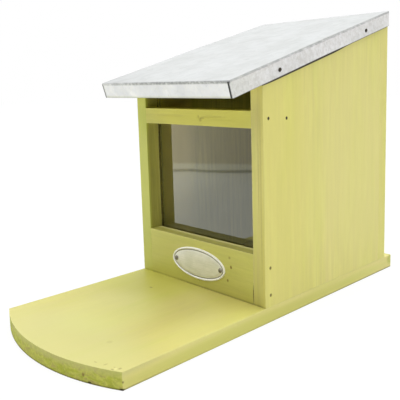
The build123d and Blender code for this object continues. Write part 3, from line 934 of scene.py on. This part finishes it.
# How each board is painted. A mark has a centre and a radius in millimetres, a stretch along each axis,
# a tone, and the share of that tone
ROUND = (1.0, 1.0, 1.0)
BOARDS = {
    "base_board": dict(
        along="y", seed=1.0, gloss=0.3, coat=0.35, arc=BOARD_ARC, inside=0.35, grainy=0.45,
        lime=0.4, edge=(PAINT_WORN_AND_HIGHLIT, 0.25),
        marks=(
            # Painted shadow of the house on the board, most at its left
            ((-58.0, -38.0, 12.0), 85.0, (1.0, 0.6, 1.0), srgb(190, 188, 78), 0.75),
            # Painted light and sheen on the board's right
            ((72.0, -70.0, 12.0), 62.0, (0.7, 1.0, 1.0), srgb(228, 224, 136), 0.35),
            ((36.0, -24.0, 12.0), 46.0, (1.4, 0.8, 1.0), srgb(212, 208, 106), 0.25),
            # Painted sheen: a paler, bluer tone along the board's front edge
            ((16.0, -146.0, 12.0), 62.0, (1.9, 0.8, 0.1), PAINT_SHEEN, 0.7),
            # Painted light on the middle of the board
            ((-12.0, -95.0, 12.0), 55.0, ROUND, srgb(216, 220, 126), 0.3),
            ((-73.0, -148.0, 3.0), 26.0, (1.0, 1.0, 0.35), srgb(172, 190, 56), 0.6),
            # Painted shade over the board's right side face
            ((75.8, -40.0, 4.0), 190.0, (0.02, 1.0, 0.04), srgb(202, 200, 94), 0.7),
            # Painted highlight: a pale grey line along the board's far left edge
            ((-75.2, -85.0, 12.0), 1.4, (1.0, 70.0, 1.0), srgb(186, 194, 184), 0.6),
            ((75.0, 164.0, 8.0), 9.0, (1.0, 1.0, 0.8), END_GRAIN_LIME, 0.7),
            ((75.5, 112.0, 5.0), 62.0, (0.03, 1.0, 0.1), srgb(204, 212, 92), 0.3),
            ((-29.0, -46.6, 12.0), 1.5, (1.6, 0.8, 1.0), BROWN, 0.7),
            ((70.4, -145.3, 12.0), 1.0, (1.2, 1.6, 1.0), KNOT, 0.5),
            ((67.9, -149.0, 12.0), 1.0, (1.8, 0.9, 1.0), KNOT, 0.5),
            ((59.3, -148.3, 12.0), 1.1, (1.0, 1.8, 1.0), KNOT, 0.35),
            ((66.5, -146.5, 12.0), 0.8, ROUND, KNOT, 0.4),
            ((52.0, -150.5, 12.0), 1.0, (2.0, 0.8, 1.0), KNOT, 0.3),
            ((34.5, -128.7, 12.0), 2.8, ROUND, KNOT, 0.14),
            ((68.8, -147.2, 12.0), 1.4, ROUND, PAINT_WORN_AND_HIGHLIT, 0.4),
            ((48.0, -157.2, 5.0), 1.5, ROUND, BARE_WOOD, 0.8),
            ((52.5, -155.9, 1.0), 1.7, (1.3, 1.0, 0.6), DIRT_AND_SHADE, 0.9),
            ((75.4, -146.8, 5.4), 1.1, ROUND, BROWN, 0.8),
            ((74.7, -147.2, 0.6), 2.0, (1.8, 1.0, 0.6), DIRT_AND_SHADE, 1.0),
        ),
    ),
    "side_panel_left": dict(
        along="z", seed=2.0, lime=0.8, inside=0.62, edge=(END_GRAIN_LIME, 0.4),
        marks=(
            ((-69.0, -19.0, 70.0), 60.0, (1.0, 0.05, 2.0), srgb(196, 203, 96), 0.6),
            ((-69.0, -19.0, 12.0), 34.0, (1.0, 0.1, 1.0), PAINT_SHADED, 0.6),
            # Painted shade inside, under the lid
            ((-63.0, 0.0, 168.0), 16.0, (0.1, 3.0, 1.0), OLIVE, 0.3),
            ((-69.0, -19.0, 160.0), 34.0, (1.0, 0.1, 1.0), srgb(204, 216, 84), 0.4),
            # A browner tone with painted light, on the inner wall behind the pane
            ((-63.0, 16.0, 95.0), 26.0, (0.3, 1.0, 6.0), srgb(222, 204, 128), 0.9),
            # Painted shade inside, under the lid
            ((-63.0, 15.0, 166.0), 9.0, (0.1, 2.6, 1.4), OLIVE, 0.6),
            # Painted shade in the pane's groove
            ((-62.7, -4.4, 95.0), 2.6, (1.6, 1.0, 90.0), DIRT_AND_SHADE, 0.95),
        ),
    ),
    "side_panel_right": dict(
        along="z", seed=3.0, lime=0.45, inside=0.55, banded=0.55, grainy=1.5, fine=0.5, broad=1.2,
        marks=(
            ((75.0, -10.0, 100.0), 75.0, (0.1, 1.0, 2.4), srgb(222, 214, 117), 0.6),
            ((75.0, 105.0, 110.0), 100.0, (0.1, 1.0, 1.5), srgb(224, 216, 136), 0.65),
            ((75.0, 149.0, 120.0), 5.0, (0.3, 1.0, 60.0), srgb(208, 202, 128), 0.6),
            ((75.0, 152.0, 120.0), 1.2, (1.0, 1.0, 100.0), srgb(150, 146, 116), 0.6),
            ((72.0, -19.0, 95.0), 1.3, (1.0, 0.3, 60.0), KNOT, 0.18),
            ((69.6, -19.0, 110.0), 0.9, (1.0, 0.3, 50.0), KNOT, 0.2),
            ((65.5, -19.0, 80.0), 2.4, (1.0, 0.3, 40.0), PAINT_LIME, 0.4),
            # Painted shade in the pane's groove
            ((62.7, -4.4, 95.0), 2.6, (1.6, 1.0, 90.0), DIRT_AND_SHADE, 0.95),
        ),
    ),
    "back_panel": dict(along="z", seed=4.0, inside=0.66, grainy=0.5, fine=0.3, broad=0.2),
    "front_panel": dict(
        along="x", seed=5.0, lime=0.65, inside=0.6,
        marks=(
            ((38.9, -19.0, 36.8), 1.5, (1.0, 1.0, 1.3), KNOT, 0.9),
            ((34.9, -19.0, 25.2), 1.4, (1.0, 1.0, 1.2), KNOT, 0.75),
            ((37.4, -19.0, 44.2), 1.5, (1.2, 1.0, 1.0), KNOT, 0.45),
            ((62.8, -19.0, 20.0), 1.1, (0.8, 1.0, 9.0), srgb(72, 58, 12), 0.75),
            # Painted light on the front panel's top face under the pane
            ((0.0, -7.0, 52.0), 5.5, (40.0, 1.0, 1.0), PAINT_WORN_AND_HIGHLIT, 0.55),
            ((-48.0, -19.0, 22.0), 44.0, (1.0, 0.05, 0.8), PAINT_SHADED, 0.5),
        ),
    ),
    "top_rail": dict(
        along="x", seed=6.0, lime=0.7, grainy=1.6,
        marks=(
            ((10.0, -19.0, 153.5), 80.0, (1.2, 0.05, 0.3), srgb(236, 229, 96), 0.65),
            ((5.8, -19.0, 154.0), 1.5, (1.0, 1.0, 1.5), KNOT, 0.3),
            ((8.1, -19.0, 152.0), 1.8, (1.2, 1.0, 1.2), KNOT, 0.42),
            ((10.6, -19.0, 153.2), 1.5, (2.2, 1.0, 0.8), KNOT, 0.28),
            ((21.0, -19.0, 154.4), 1.9, (10.0, 1.0, 0.9), KNOT, 0.15),
            ((-30.0, -19.0, 154.6), 1.6, (18.0, 1.0, 1.0), KNOT, 0.12),
        ),
    ),
    "pane_batten": dict(along="x", seed=7.0),
    "lid_board": dict(along="y", seed=8.0, inside=1.04),
}

# The finishes, and the two pieces that stand for imported ones
for node, looks in BOARDS.items():
    wear(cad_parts[node], painted_wood(node, **looks))
zinc_sheet = galvanised_sheet()
hand_over(roof_cover(), "lid", "galvanised_sheet", zinc_sheet, "roof_sheet")
wear(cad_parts["roof_sheet"], zinc_sheet)
wear(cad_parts["window_pane"], clear_acrylic())
plate_finish = plate_metal()
hand_over(oval_plate(), "house", "plate_metal", plate_finish, "oval_plate")
wear(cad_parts["oval_plate"], plate_finish)
bright = zinc("zinc_plated", srgb(196, 196, 198), srgb(150, 150, 150), 4.0)
dull = zinc("tarnished_screws", srgb(160, 155, 138), srgb(48, 42, 30), 1.1)
rusty = nail_heads()
for node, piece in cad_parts.items():
    if node.startswith("hinge") or node.endswith("screws"):
        wear(piece, dull if node == "plate_screws" else bright)
    if "nails" in node:
        wear(piece, rusty)
